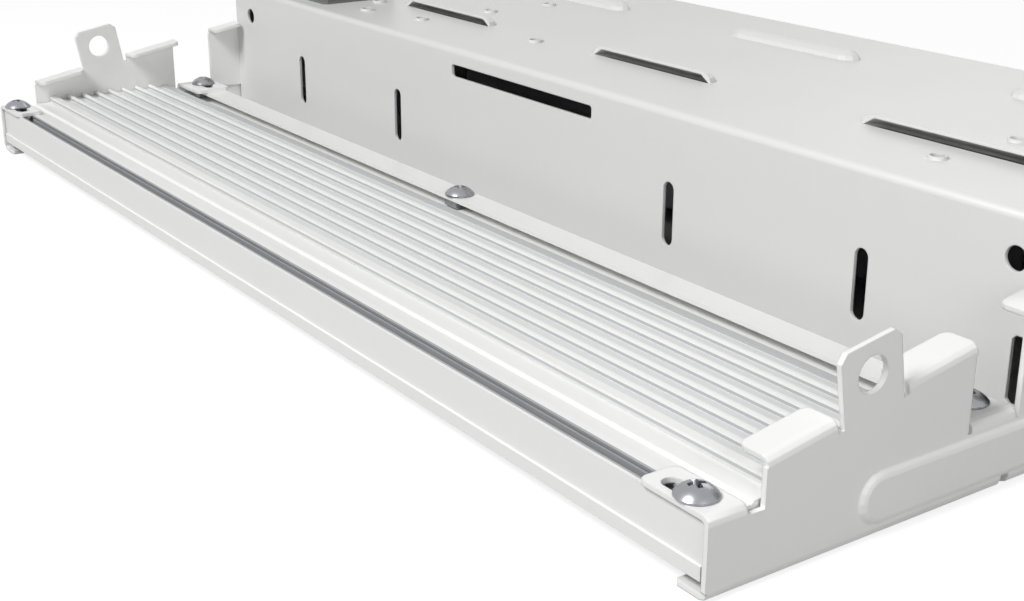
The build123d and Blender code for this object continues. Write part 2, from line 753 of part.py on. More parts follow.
def cable_gland():
    """The cable gland in the left end of the mains box: its body, dome nut and locknut."""
    thread_start = -mains_wall - gland_locknut[1] - 1.0
    thread = prism(gland_thread / 2, gland_thread_length - thread_start, small_sides)
    thread = Pos(0, 0, thread_start) * thread
    body = thread + hexagon(gland_collar) - Cylinder(gland_bore / 2, 80)
    nut_base = gland_collar[1]
    nut = chamfer(hexagon(gland_nut).edges().group_by(Axis.Z)[-1], gland_end)
    nut = Pos(0, 0, nut_base) * nut
    nut -= bore_down(gland_thread / 2 + screw_play, gland_thread_length, 0, 0, gland_thread_length,
                     small_sides)
    nut -= bore(gland_bore / 2 + 1.0, 80, small_sides)
    locknut = Pos(0, 0, -mains_wall - gland_locknut[1]) * hexagon(gland_locknut)
    locknut -= bore(gland_thread / 2 + screw_play, 80, small_sides)
    x, y = mains_centre()
    place = Pos(x - mains_length / 2, y, box_top + gland_height) * Rot(0, -90, 0)
    return place * body, place * nut, place * locknut


def terminal_screw_places():
    """Two screws through the ends of the terminal block into the tray."""
    x, y = mains_centre()
    reach = terminal_length / 2 - 4.0
    return [(x - reach, y), (x + reach, y)]


def terminal_block():
    """A terminal block on the tray under the mains box, with a wire hole per way on each side."""
    x, y = mains_centre()
    base = tray_base + box_sheet
    block = Pos(x, y, base + terminal_height / 2) * Box(terminal_length, terminal_width, terminal_height)
    pitch = (terminal_length - 14.0) / (terminal_ways - 1)
    for way in range(terminal_ways):
        way_x = x + (way - (terminal_ways - 1) / 2) * pitch
        for side in (-1, 1):
            block -= Pos(way_x, y + side * terminal_width / 2, base + terminal_height * 0.4) * Box(
                terminal_wire_hole, 12, terminal_wire_hole)
    for screw_place_x, screw_place_y in terminal_screw_places():
        block -= bore_down(small_screw[2] / 2 + screw_play, 30, screw_place_x, screw_place_y,
                           base + terminal_height + 1)
    return block


def hexagon(sizes):
    """A hexagonal block of a given width across its flats, standing on Z = 0."""
    across_flats, height = sizes
    return extrude(RegularPolygon(across_flats / 2, 6, major_radius=False, rotation=30), height)


def square_nut(sizes, hole):
    """A square nut whose top is at Z = 0."""
    across_flats, thickness = sizes
    block = Box(across_flats, across_flats, thickness)
    return Pos(0, 0, -thickness / 2) * (block - bore(hole / 2, 3 * thickness, hidden_sides))


def hex_nut(sizes, hole):
    """A hexagon nut whose top is at Z = 0."""
    thickness = sizes[1]
    return Pos(0, 0, -thickness) * (hexagon(sizes) - bore(hole / 2, 3 * thickness, hidden_sides))


def four_corners(x, y):
    return [(-x, -y), (x, -y), (-x, y), (x, y)]


def save(shape, name):
    """Writes one node, as a single solid or a compound of separate ones."""
    if isinstance(shape, list):
        shape = Compound(children=[solid for piece in shape for solid in piece.solids()])
    export_step(shape, f"parts/{name}.step")
    print(name, len(shape.solids()), round(shape.volume))


right_plate = end_plate()
save(right_plate, "end_plate_right")
save(mirror(right_plate, Plane.YZ), "end_plate_left")

for label, piece in (
    ("heat_sink", heat_sink()),
    ("lens", lens()),
    ("led_board_left", led_board(-1)),
    ("led_board_right", led_board(1)),
    ("led_chips", led_chips()),
    ("lead_grommet", lead_grommet()),
    ("driver", led_driver()),
):
    save(piece, f"{label}_front")
    save(rear_copy(piece), f"{label}_rear")

save(gear_box(), "gear_box")
save(gear_tray(), "gear_tray")
save(mains_box(), "mains_box")
save(mains_lid_piece(), "mains_lid")
gland_body, gland_dome, gland_lock = cable_gland()
save(gland_body, "cable_gland")
save(gland_dome, "gland_nut")
save(gland_lock, "gland_locknut")
save(terminal_block(), "terminal_block")

# Screws of the two modules
channel_screw = domed_screw(module_screw, channel_screw_length)
rail_screw = domed_screw(module_screw, rail_screw_length)
middle_screw = domed_screw(module_screw, middle_screw_length)
channel_y = across(channel_middle)
rail_y = across(rail_screw_u)
save([Pos(x, y, tab_top) * channel_screw for x, y in four_corners(screw_x, channel_y)], "channel_screws")
save([Pos(x, y, tab_top) * rail_screw for x, y in four_corners(screw_x, rail_y)], "rail_screws")
save([Pos(middle_screw_x, y, sink_top) * middle_screw for y in (rail_y, -rail_y)], "middle_screws")
rail_places = four_corners(screw_x, rail_y) + [(middle_screw_x, rail_y), (middle_screw_x, -rail_y)]
rail_nut_piece = square_nut(rail_nut, module_screw[2] + screw_play)
save([Pos(x, y, rail_underside) * rail_nut_piece for x, y in rail_places], "rail_nuts")

# Screws between the end plates, the gear box and the tray
end_screw = pan_screw(plate_screw, plate_screw_length)
end_nut = hex_nut(plate_nut, plate_screw[2] + screw_play)
end_screws = []
end_nuts = []
for side in (-1, 1):
    for y in (-plate_screw_offset, plate_screw_offset):
        end_screws.append(Pos(side * half, y, plate_screw_height) * Rot(0, side * 90, 0) * end_screw)
        nut_x = side * (box_length / 2 - box_sheet)
        end_nuts.append(Pos(nut_x, y, plate_screw_height) * Rot(0, side * 90, 0) * end_nut)
save(end_screws, "plate_screws")
save(end_nuts, "plate_nuts")

sunk_screw = sunk_cone(tray_screw[0] / 2 - 0.2) + prism(tray_screw[2] / 2, tray_screw_length, hidden_sides)
tray_places = four_corners(plate_inside - tray_screw_from_end, tray_screw_offset)
tray_nut_piece = hex_nut(tray_nut, tray_screw[2] + screw_play)
tray_nut_top = tray_base + box_sheet + tray_nut[1]
save([Pos(x, y, 0) * sunk_screw for x, y in tray_places], "tray_screws")
save([Pos(x, y, tray_nut_top) * tray_nut_piece for x, y in tray_places], "tray_nuts")

hanging_screw = Rot(180, 0, 0) * pan_screw(driver_screw, driver_screw_length)
driver_screw_top = driver_top - driver_foot_thickness
save([Pos(driver_middle + x, y, driver_screw_top) * hanging_screw
      for x, y in four_corners(driver_fixing_spacing / 2, driver_offset)], "driver_screws")

tiny_screw = pan_screw(small_screw, mains_screw_length)
save([Pos(x, y, box_top + mains_wall) * tiny_screw for x, y in mains_screw_places()], "mains_screws")
long_screw = pan_screw(small_screw, terminal_screw_length - 3.0)
terminal_top = tray_base + box_sheet + terminal_height
save([Pos(x, y, terminal_top) * long_screw for x, y in terminal_screw_places()], "terminal_screws")

# Earth stud, standing on the tray with its nut
stud_place = Pos(earth_from_end - half, earth_y, tray_base + box_sheet)
save(stud_place * Pos(0, 0, -1.0) * prism(plate_screw[2] / 2, earth_stud_length, hidden_sides), "earth_stud")
save(stud_place * Pos(0, 0, plate_nut[1]) * end_nut, "earth_nut")
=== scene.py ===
import json
import math

import bpy
from mathutils import Matrix, Vector


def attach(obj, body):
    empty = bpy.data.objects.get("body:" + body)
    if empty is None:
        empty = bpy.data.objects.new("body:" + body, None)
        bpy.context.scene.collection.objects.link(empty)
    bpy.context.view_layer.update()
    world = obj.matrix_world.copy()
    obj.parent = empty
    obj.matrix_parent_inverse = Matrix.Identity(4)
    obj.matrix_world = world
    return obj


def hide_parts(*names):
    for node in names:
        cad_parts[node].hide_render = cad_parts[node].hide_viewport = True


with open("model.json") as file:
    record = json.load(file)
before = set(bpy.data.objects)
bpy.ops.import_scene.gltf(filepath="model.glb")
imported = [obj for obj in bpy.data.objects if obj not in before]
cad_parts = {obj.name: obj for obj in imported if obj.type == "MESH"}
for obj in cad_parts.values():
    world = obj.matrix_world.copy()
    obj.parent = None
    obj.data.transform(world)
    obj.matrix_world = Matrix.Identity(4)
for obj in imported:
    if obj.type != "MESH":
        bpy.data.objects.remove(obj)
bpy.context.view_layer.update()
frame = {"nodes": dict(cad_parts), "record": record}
print("frame loaded", len(frame["nodes"]), "nodes")

mm = 0.001  # every size and place of a piece below is in mm


# small helpers
def linear(code):
    # sRGB hex to the linear colour that the shaders take
    parts = [int(code[i:i + 2], 16) / 255 for i in (1, 3, 5)]
    return tuple(c / 12.92 if c <= 0.04045 else ((c + 0.055) / 1.055) ** 2.4 for c in parts) + (1.0,)


def addNode(tree, kind, inputs=None, **settings):
    node = tree.nodes.new(kind)
    for name, value in settings.items():
        setattr(node, name, value)
    for name, value in (inputs or {}).items():
        if isinstance(value, bpy.types.NodeSocket):
            tree.links.new(value, node.inputs[name])
        else:
            node.inputs[name].default_value = value
    return node


def emptyTree(owner):
    owner.use_nodes = True
    owner.node_tree.nodes.clear()
    return owner.node_tree


def newMaterial(name):
    mat = bpy.data.materials.new(name)
    tree = emptyTree(mat)
    shader = addNode(tree, "ShaderNodeBsdfPrincipled")
    addNode(tree, "ShaderNodeOutputMaterial", {"Surface": shader.outputs["BSDF"]})
    return mat, tree, shader


def deselectAll():
    if bpy.context.mode != "OBJECT":
        bpy.ops.object.mode_set(mode="OBJECT")
    bpy.ops.object.select_all(action="DESELECT")


def selectOnly(piece):
    deselectAll()
    bpy.context.view_layer.objects.active = piece
    piece.select_set(True)


# powder coat and what it leaves bare
coatLook = {"filmPatch": 60.0, "glossSpread": 0.04, "peelDepth": 0.06, "peelStrength": 0.06, "ior": 1.5}


def powderCoat(name, base, dull, roughness, grain, edge):
    # polyester powder coat, sprayed and baked: satin, a faint orange peel, an uneven film and softened edges
    mat, tree, shader = newMaterial(name)
    coords = addNode(tree, "ShaderNodeTexCoord").outputs["Object"]
    film = addNode(tree, "ShaderNodeTexNoise", {"Vector": coords, "Scale": 1 / (coatLook["filmPatch"] * mm),
                                                "Detail": 3.0})
    tone = addNode(tree, "ShaderNodeMix", {"Factor": film.outputs["Fac"], "A": linear(base),
                                           "B": linear(dull)}, data_type="RGBA")
    peel = addNode(tree, "ShaderNodeTexNoise", {"Vector": coords, "Scale": 1 / (grain * mm), "Detail": 2.0})
    softEdge = addNode(tree, "ShaderNodeBevel", {"Radius": edge * mm}, samples=6)
    bump = addNode(tree, "ShaderNodeBump", {"Height": peel.outputs["Fac"],
                                            "Normal": softEdge.outputs["Normal"],
                                            "Strength": coatLook["peelStrength"],
                                            "Distance": coatLook["peelDepth"] * mm})
    gloss = addNode(tree, "ShaderNodeMapRange", {"Value": film.outputs["Fac"],
                                                 "To Min": roughness - coatLook["glossSpread"],
                                                 "To Max": roughness + coatLook["glossSpread"]})
    tree.links.new(tone.outputs["Result"], shader.inputs["Base Color"])
    tree.links.new(gloss.outputs["Result"], shader.inputs["Roughness"])
    tree.links.new(bump.outputs["Normal"], shader.inputs["Normal"])
    shader.inputs["IOR"].default_value = coatLook["ior"]
    return mat


# bands of the heat sink's section: how far from the light's middle line, and how high; the rib floors, the
# ribs' lower sides and the channel's floor get painted shade
sinkBandsAndPaintedShade = {"ribs": (142.0, 214.5), "ribFloor": (0.0, 25.9), "ribSide": (25.9, 27.0),
            "floorPaintedShade": "#DFE0E0", "sidePaintedShade": "#BFC0C1",
            "channel": (232.4, 239.6), "channelWall": (0.0, 27.9), "channelShade": (18.5, 21.5),
            "bareTop": "#B9BBBE", "deepPaintedShade": "#26272A", "dieShade": "#95979A",
            "dieLine": 0.35, "dieLineStretch": 50.0}


def bandMask(tree, bands):
    # 1 where every value lies in its own band, 0 elsewhere
    mask = None
    for value, limits in bands:
        for limit, test in zip(limits, ("GREATER_THAN", "LESS_THAN")):
            inside = addNode(tree, "ShaderNodeMath", {0: value, 1: limit * mm}, operation=test).outputs[0]
            mask = inside if mask is None else addNode(tree, "ShaderNodeMath", {0: mask, 1: inside},
                                                       operation="MULTIPLY").outputs[0]
    return mask


def coatedExtrusion(name, spec, **coat):
    # painted shade between the ribs: the rib floors and the ribs' lower sides are painted darker; the screw
    # channel stays bare, pressed aluminium with the die's fine lines along it, with painted shade towards
    # its floor
    mat = powderCoat(name, **coat)
    tree = mat.node_tree
    shader = next(n for n in tree.nodes if n.type == "BSDF_PRINCIPLED")
    coords = addNode(tree, "ShaderNodeTexCoord").outputs["Object"]
    split = addNode(tree, "ShaderNodeSeparateXYZ", {"Vector": coords})
    height = split.outputs["Z"]
    fromMiddle = addNode(tree, "ShaderNodeMath", {0: split.outputs["Y"]}, operation="ABSOLUTE").outputs[0]

    along = addNode(tree, "ShaderNodeMapping", {"Vector": coords,
                                                "Scale": (1 / spec["dieLineStretch"], 1, 1)})
    dieLines = addNode(tree, "ShaderNodeTexNoise", {"Vector": along.outputs["Vector"],
                                                    "Scale": 1 / (spec["dieLine"] * mm), "Detail": 2.0})
    drawn = addNode(tree, "ShaderNodeMix", {"Factor": dieLines.outputs["Fac"], "A": linear(spec["bareTop"]),
                                            "B": linear(spec["dieShade"])}, data_type="RGBA")
    # painted shade: the bare metal turns near black towards the channel's floor, by height alone
    deep, lit = spec["channelShade"]
    shade = addNode(tree, "ShaderNodeMapRange", {"Value": height, "From Min": deep * mm,
                                                 "From Max": lit * mm}, interpolation_type="SMOOTHSTEP")
    bare = addNode(tree, "ShaderNodeMix", {"Factor": shade.outputs["Result"], "A": linear(spec["deepPaintedShade"]),
                                           "B": drawn.outputs["Result"]}, data_type="RGBA")

    tone = shader.inputs["Base Color"].links[0].from_socket
    # the rib floors and the ribs' lower sides take painted shade, and the channel takes the bare metal with
    # its painted shade
    for across, up, film in (("ribs", "ribFloor", linear(spec["floorPaintedShade"])),
                             ("ribs", "ribSide", linear(spec["sidePaintedShade"])),
                             ("channel", "channelWall", bare.outputs["Result"])):
        mask = bandMask(tree, ((fromMiddle, spec[across]), (height, spec[up])))
        tone = addNode(tree, "ShaderNodeMix", {"Factor": mask, "A": tone, "B": film},
                       data_type="RGBA").outputs["Result"]
    tree.links.new(tone, shader.inputs["Base Color"])
    return mat


# bare metal and moulded plastic
metalLook = {"cloud": 2.5, "shinier": 0.05, "duller": 0.08}
mouldLook = {"edge": 0.4, "grainStrength": 0.25, "ior": 1.49}


def brightMetal(name, base, roughness):
    # zinc plate over cold-headed steel, or turned brass: a clean metal, slightly cloudy from the barrel
    mat, tree, shader = newMaterial(name)
    coords = addNode(tree, "ShaderNodeTexCoord").outputs["Object"]
    cloud = addNode(tree, "ShaderNodeTexNoise", {"Vector": coords, "Scale": 1 / (metalLook["cloud"] * mm),
                                                 "Detail": 4.0})
    gloss = addNode(tree, "ShaderNodeMapRange", {"Value": cloud.outputs["Fac"],
                                                 "To Min": roughness - metalLook["shinier"],
                                                 "To Max": roughness + metalLook["duller"]})
    tree.links.new(gloss.outputs["Result"], shader.inputs["Roughness"])
    shader.inputs["Base Color"].default_value = linear(base)
    shader.inputs["Metallic"].default_value = 1.0
    return mat


def mouldedPlastic(name, base, roughness, grain, depth):
    # injection-moulded plastic with a spark-eroded mould's fine texture, which greys its sheen
    mat, tree, shader = newMaterial(name)
    coords = addNode(tree, "ShaderNodeTexCoord").outputs["Object"]
    spark = addNode(tree, "ShaderNodeTexNoise", {"Vector": coords, "Scale": 1 / (grain * mm), "Detail": 3.0})
    softEdge = addNode(tree, "ShaderNodeBevel", {"Radius": mouldLook["edge"] * mm}, samples=4)
    bump = addNode(tree, "ShaderNodeBump", {"Height": spark.outputs["Fac"],
                                            "Normal": softEdge.outputs["Normal"],
                                            "Strength": mouldLook["grainStrength"],
                                            "Distance": depth * mm})
    tree.links.new(bump.outputs["Normal"], shader.inputs["Normal"])
    shader.inputs["Base Color"].default_value = linear(base)
    shader.inputs["Roughness"].default_value = roughness
    shader.inputs["IOR"].default_value = mouldLook["ior"]
    return mat


# one finish for each of the record's material slots
finishes = {
    # the light's own white: near-white folded steel, a box a shade greyer, and extrusions with crisper edges
    "plate_white": powderCoat("powderCoatedSteelPlate", "#F8F8F7", "#F5F5F4",
                              roughness=0.42, grain=0.9, edge=0.8),
    "box_white": powderCoat("powderCoatedSteelBox", "#E6E6E5", "#E3E3E1",
                            roughness=0.42, grain=0.9, edge=0.7),
    "sink_white": coatedExtrusion("powderCoatedAluminium", sinkBandsAndPaintedShade, base="#F4F4F3", dull="#F2F2F0",
                                  roughness=0.38, grain=0.7, edge=0.15),
    # the drivers' painted steel cases, given a light grey as painted light for the box's unlit inside, so
    # they look a dark grey behind the slots
    "driver_black": powderCoat("paintedDriverCase", "#A6A7AE", "#9C9DA4",
                               roughness=0.5, grain=0.8, edge=0.6),
    # blue-white fasteners, and bare brass, which is warmer
    "screw_zinc": brightMetal("brightZincPlatedSteel", "#9A9CA0", roughness=0.26),
    "earth_brass": brightMetal("turnedBrass", "#C8A45A", roughness=0.25),
    # mouldings: a dull grey box, a black grained gland, an ivory terminal block, soft bushes with no sheen
    "mains_grey": mouldedPlastic("mouldedGreyPolycarbonate", "#6E716E",
                                 roughness=0.5, grain=0.35, depth=0.03),
    "gland_black": mouldedPlastic("blackNylon", "#1A1A1B", roughness=0.55, grain=0.3, depth=0.02),
    "terminal_ivory": mouldedPlastic("ivoryPolyamide", "#DDD9C8", roughness=0.5, grain=0.3, depth=0.02),
    "grommet_rubber": mouldedPlastic("blackRubber", "#1C1C1C", roughness=0.7, grain=0.25, depth=0.03),
    # the underside: a milky lens with a soft sheen, a flat white board, matt yellow LED packages
    "lens_opal": mouldedPlastic("opalPolycarbonate", "#F1F3F4", roughness=0.22, grain=1.2, depth=0.01),
    "board_white": mouldedPlastic("whiteSolderMask", "#EFEFEA", roughness=0.35, grain=0.8, depth=0.02),
    "phosphor": mouldedPlastic("ledPhosphor", "#EBCB52", roughness=0.4, grain=0.2, depth=0.02),
}
for sub in frame["record"]["subparts"]:
    mesh = frame["nodes"][sub["node"]].data
    mesh.materials.clear()
    mesh.materials.append(finishes[sub["material_slot"]])
print("materials set", len(finishes))


# shared tools for turned shapes and punched holes
def pickVertices(piece, test):
    # leaves the piece in edit mode, with only the vertices selected whose place passes the test
    selectOnly(piece)
    bpy.ops.object.mode_set(mode="EDIT")
    bpy.ops.mesh.select_all(action="DESELECT")
    bpy.ops.object.mode_set(mode="OBJECT")
    for v in piece.data.vertices:
        v.select = test(v.co)
    bpy.ops.object.mode_set(mode="EDIT")


def ringStack(name, rings, sides):
    # a turned shape, built up ring by ring from a filled circle, each ring a radius and a height
    deselectAll()
    r, z = rings[0]
    bpy.ops.mesh.primitive_circle_add(vertices=sides, radius=r * mm, fill_type="NGON",
                                      location=(0, 0, z * mm))
    piece = bpy.context.object
    piece.name = name
    bpy.ops.object.mode_set(mode="EDIT")
    for nextR, nextZ in rings[1:]:
        bpy.ops.mesh.extrude_region_move(TRANSFORM_OT_translate={"value": (0, 0, (nextZ - z) * mm)})
        bpy.ops.transform.resize(value=(nextR / r, nextR / r, 1))
        r, z = nextR, nextZ
    bpy.ops.mesh.select_all(action="SELECT")
    bpy.ops.mesh.normals_make_consistent(inside=False)
    bpy.ops.object.mode_set(mode="OBJECT")
    bpy.ops.object.transform_apply(location=True, rotation=True, scale=True)
    return piece


def applyTool(piece, tool, operation="DIFFERENCE"):
    # cuts the tool out of the piece, or joins it on, and puts the tool away
    mod = piece.modifiers.new("tool", "BOOLEAN")
    mod.operation = operation
    mod.object = tool
    mod.solver = "EXACT"
    selectOnly(piece)
    bpy.ops.object.modifier_apply(modifier=mod.name)
    bpy.data.objects.remove(tool, do_unlink=True)


def smoothTurned(piece, degrees):
    selectOnly(piece)
    bpy.ops.object.shade_smooth_by_angle(angle=math.radians(degrees))


punchSides = 48


def roundPunch(radius, depth, place, axis):
    # a plain round punch, lying along the given axis
    deselectAll()
    turned = {"X": (0, math.radians(90), 0), "Y": (math.radians(90), 0, 0), "Z": (0, 0, 0)}[axis]
    bpy.ops.mesh.primitive_cylinder_add(vertices=punchSides, radius=radius * mm, depth=depth * mm,
                                        location=tuple(v * mm for v in place), rotation=turned)
    bpy.ops.object.transform_apply(location=True, rotation=True, scale=True)
    return bpy.context.object


def slotPunch(width, length, depth, place, axis, along):
    # a punch with round ends: a cylinder whose two halves are drawn apart along the slot
    punch = roundPunch(width / 2, depth, place, axis)
    index = "XYZ".index(along)
    hair = 0.01  # sends the vertices on the middle line all one way
    middle = (place[index] - hair) * mm
    for way in (1, -1):
        pickVertices(punch, lambda at: (at[index] > middle) == (way > 0))
        move = [0, 0, 0]
        move[index] = way * (length - width) / 2 * mm
        bpy.ops.transform.translate(value=move)
    bpy.ops.object.mode_set(mode="OBJECT")
    return punch


# folded sheet pieces: the holes and collars brought to true rounds and the cut edges broken
sheetEdge = {"break": 0.22, "segments": 2, "sharpAngle": 42.0, "weld": 0.002, "flat": 0.3}
boxHoles = {"wall": 94.0, "through": 12.0, "holeX": 278.3, "holeZ": 65.7,
            "hole": 8.7,  # the flat-sided hole stands round an 8 mm circle, so this takes in its corners
            "slot": (6.5, 27.3), "slotX": (108.0, 213.8), "slotZ": 38.2}
boxCollars = {"outside": 7.6, "inside": 5.4, "bottom": 80.12, "top": 82.82,
              "small": ((-173.3, -73.2), (-194.0, -53.5), (-45.4, -51.2)),
              "driverX": (-131.0, 219.0), "driverY": (-64.5, -20.0, 20.0, 64.5)}
tabSlots = {"slot": (6.6, 16.5), "through": 8.0, "x": 283.05, "y": (236.0, 123.2), "z": 25.5}


def boxTools(holes, collars):
    # every punch for the box's walls, then each drawn collar: a round plug joined on and bored again
    tools = []
    for side in (-1, 1):
        for end in (-1, 1):
            place = (end * holes["holeX"], side * holes["wall"], holes["holeZ"])
            tools.append(("DIFFERENCE", roundPunch(holes["hole"] / 2, holes["through"], place, "Y")))
            for x in holes["slotX"]:
                place = (end * x, side * holes["wall"], holes["slotZ"])
                tools.append(("DIFFERENCE", slotPunch(*holes["slot"], holes["through"], place, "Y", "Z")))
    tall = collars["top"] - collars["bottom"]
    middle = (collars["top"] + collars["bottom"]) / 2
    spots = collars["small"] + tuple((x, y) for x in collars["driverX"] for y in collars["driverY"])
    for x, y in spots:
        place = (x, y, middle)
        tools.append(("UNION", roundPunch(collars["outside"] / 2, tall, place, "Z")))
        tools.append(("DIFFERENCE", roundPunch(collars["inside"] / 2, holes["through"], place, "Z")))
    return tools


def tabTools(slots, end):
    places = [(end * slots["x"], side * y, slots["z"]) for y in slots["y"] for side in (-1, 1)]
    return [("DIFFERENCE", slotPunch(*slots["slot"], slots["through"], place, "Z", "X")) for place in places]


def sheetPiece(node, tools, spec):
    piece = bpy.data.objects.new(node + "_sheet", frame["nodes"][node].data.copy())
    bpy.context.scene.collection.objects.link(piece)
    selectOnly(piece)
    bpy.ops.object.mode_set(mode="EDIT")
    bpy.ops.mesh.select_all(action="SELECT")
    bpy.ops.mesh.remove_doubles(threshold=spec["weld"] * mm)
    bpy.ops.object.mode_set(mode="OBJECT")
    for operation, tool in tools:
        applyTool(piece, tool, operation)
    bpy.ops.object.mode_set(mode="EDIT")
    bpy.ops.mesh.select_all(action="SELECT")
    bpy.ops.mesh.remove_doubles(threshold=spec["weld"] * mm)
    bpy.ops.mesh.dissolve_limited(angle_limit=math.radians(spec["flat"]))
    bpy.ops.object.mode_set(mode="OBJECT")
    edge = piece.modifiers.new("brokenEdge", "BEVEL")
    edge.width = spec["break"] * mm
    edge.segments = spec["segments"]
    edge.limit_method = "ANGLE"
    edge.angle_limit = math.radians(spec["sharpAngle"])
    edge.use_clamp_overlap = True
    bpy.ops.object.modifier_apply(modifier=edge.name)
    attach(piece, "root")
    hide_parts(node)
    print("sheet", piece.name, len(piece.data.polygons), "faces")


sheetPiece("gear_box", boxTools(boxHoles, boxCollars), sheetEdge)
sheetPiece("end_plate_right", tabTools(tabSlots, 1), sheetEdge)
sheetPiece("end_plate_left", tabTools(tabSlots, -1), sheetEdge)

# what all the screws share: the driver bit that presses the recess, and how copies are set out
driverBit = {"proud": 0.6, "tipReach": 0.56, "tipWidth": 0.6}
corners = [(end, side) for end in (-1, 1) for side in (-1, 1)]


def crossBit(spec, top):
    # two tapered blades that cross, as a driver bit does
    tall = spec["recessDepth"] + driverBit["proud"]
    middle = (0, 0, (top + driverBit["proud"] - tall / 2) * mm)
    reach = (spec["recessReach"], driverBit["tipReach"])
    width = (spec["recessWidth"], driverBit["tipWidth"])
    blades = []
    for (sizeX, tipX), (sizeY, tipY) in ((reach, width), (width, reach)):
        deselectAll()
        bpy.ops.mesh.primitive_cube_add(size=1, location=middle)
        blade = bpy.context.object
        bpy.ops.object.mode_set(mode="EDIT")
        bpy.ops.transform.resize(value=(sizeX * mm, sizeY * mm, tall * mm), center_override=middle)
        bpy.ops.object.mode_set(mode="OBJECT")
        bpy.ops.object.transform_apply(location=True, rotation=True, scale=True)
        pickVertices(blade, lambda at: at.z < middle[2])
        bpy.ops.transform.resize(value=(tipX, tipY, 1), center_override=middle)
        bpy.ops.object.mode_set(mode="OBJECT")
        blades.append(blade)
    applyTool(blades[0], blades[1], "UNION")
    return blades[0]


def turnAndMove(place, axis, degrees, spin):
    # the spin is about the screw's own axis, before it is tipped and moved
    tipped = Matrix.Rotation(math.radians(degrees), 4, axis) @ Matrix.Rotation(math.radians(spin), 4, "Z")
    return Matrix.Translation(tuple(v * mm for v in place)) @ tipped


def placeCopies(original, name, node, places, slot):
    for k, place in enumerate(places):
        mesh = original.data.copy()
        mesh.transform(place)
        mesh.materials.clear()
        mesh.materials.append(finishes[slot])
        piece = bpy.data.objects.new(f"{name}_{k + 1}", mesh)
        bpy.context.scene.collection.objects.link(piece)
        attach(piece, "root")
        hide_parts(node)
    bpy.data.objects.remove(original, do_unlink=True)


# mushroom-head screws with a cross recess, through the tabs and in the middle of the inner flanges
mushroomScrew = {"head": 13.5, "headHeight": 4.2, "crownShare": 0.8, "underEdge": 0.25, "shank": 5.0,
                 "point": 0.3, "recessWidth": 1.9, "recessReach": 6.6, "recessDepth": 2.2,
                 "sides": 64, "arcRings": 12, "smooth": 32}
mushroomRows = {
    "channel_screws": {"x": 288.0, "y": 236.0, "seat": 26.5, "shank": 10.5, "spots": corners,
                       "turns": (12, 47, 71, 28)},
    "rail_screws": {"x": 288.0, "y": 123.2, "seat": 26.5, "shank": 7.6, "spots": corners,
                    "turns": (63, 5, 80, 36)},
    "middle_screws": {"x": -4.5, "y": 123.2, "seat": 24.5, "shank": 5.4, "spots": ((1, -1), (1, 1)),
                      "turns": (52, 19)},
}


def makeMushroomScrew(spec, length):
    half, shank, top = spec["head"] / 2, spec["shank"] / 2, spec["headHeight"]
    point, under, steps = spec["point"], spec["underEdge"], spec["arcRings"]
    rise = top * spec["crownShare"]
    ball = (half * half + rise * rise) / (2 * rise)
    rings = [(shank - point, -length), (shank, point - length), (shank, 0.0),
             (half - under, 0.0), (half, under), (half, top - rise)]
    edge = math.asin(half / ball)
    for k in range(1, steps):
        angle = edge * (1 - k / steps)
        rings.append((ball * math.sin(angle), top - ball + ball * math.cos(angle)))
    screw = ringStack("mushroomScrew", rings, spec["sides"])
    applyTool(screw, crossBit(spec, top))
    smoothTurned(screw, spec["smooth"])
    return screw


for node, row in mushroomRows.items():
    places = [turnAndMove((end * row["x"], side * row["y"], row["seat"]), "Z", 0, turn)
              for (end, side), turn in zip(row["spots"], row["turns"])]
    placeCopies(makeMushroomScrew(mushroomScrew, row["shank"]), node, node, places, "screw_zinc")
print("mushroom-head screws made", sum(len(row["turns"]) for row in mushroomRows.values()))

# pan-head screws through the end plates into the gear box's flaps
panScrew = {"head": 9.5, "headHeight": 3.6, "rimShare": 0.42, "flatShare": 0.45, "underEdge": 0.2,
            "shank": 5.0, "length": 10.0, "point": 0.4, "recessWidth": 1.3, "recessReach": 4.6,
            "recessDepth": 1.9, "sides": 48, "arcRings": 8, "smooth": 32,
            "face": 300.0, "y": 60.0, "z": 40.0, "turns": (17, 58, 33, 74)}


def makePanScrew(spec):
    half, shank, top = spec["head"] / 2, spec["shank"] / 2, spec["headHeight"]
    point, under, steps = spec["point"], spec["underEdge"], spec["arcRings"]
    rim = top * spec["rimShare"]
    rings = [(shank - point, -spec["length"]), (shank, point - spec["length"]), (shank, 0.0),
             (half - under, 0.0), (half, under), (half, rim)]
    for k in range(1, steps):
        angle = math.radians(90 * k / steps)
        share = spec["flatShare"] + (1 - spec["flatShare"]) * math.cos(angle)
        rings.append((half * share, rim + (top - rim) * math.sin(angle)))
    screw = ringStack("panScrew", rings, spec["sides"])
    applyTool(screw, crossBit(spec, top))
    smoothTurned(screw, spec["smooth"])
    return screw


places = [turnAndMove((end * panScrew["face"], side * panScrew["y"], panScrew["z"]), "Y", end * 90, turn)
          for (end, side), turn in zip(corners, panScrew["turns"])]
placeCopies(makePanScrew(panScrew), "plateScrew", "plate_screws", places, "screw_zinc")

# countersunk screws that hold the tray from below
sunkScrew = {"head": 7.6, "headHeight": 2.0, "landIn": 0.1, "land": 0.12, "faceIn": 0.15, "shank": 3.9,
             "length": 6.0, "point": 0.4, "recessWidth": 1.1, "recessReach": 4.0, "recessDepth": 1.4,
             "sides": 48, "smooth": 32, "x": 291.0, "y": 70.0, "face": 0.0, "turns": (22, 41, 66, 8)}


def makeSunkScrew(spec):
    half, shank, point = spec["head"] / 2, spec["shank"] / 2, spec["point"]
    rings = [(shank - point, -spec["length"]), (shank, point - spec["length"]), (shank, -spec["headHeight"]),
             (half - spec["landIn"], -spec["land"]), (half - spec["faceIn"], 0.0)]
    screw = ringStack("sunkScrew", rings, spec["sides"])
    applyTool(screw, crossBit(spec, 0.0))
    smoothTurned(screw, spec["smooth"])
    return screw


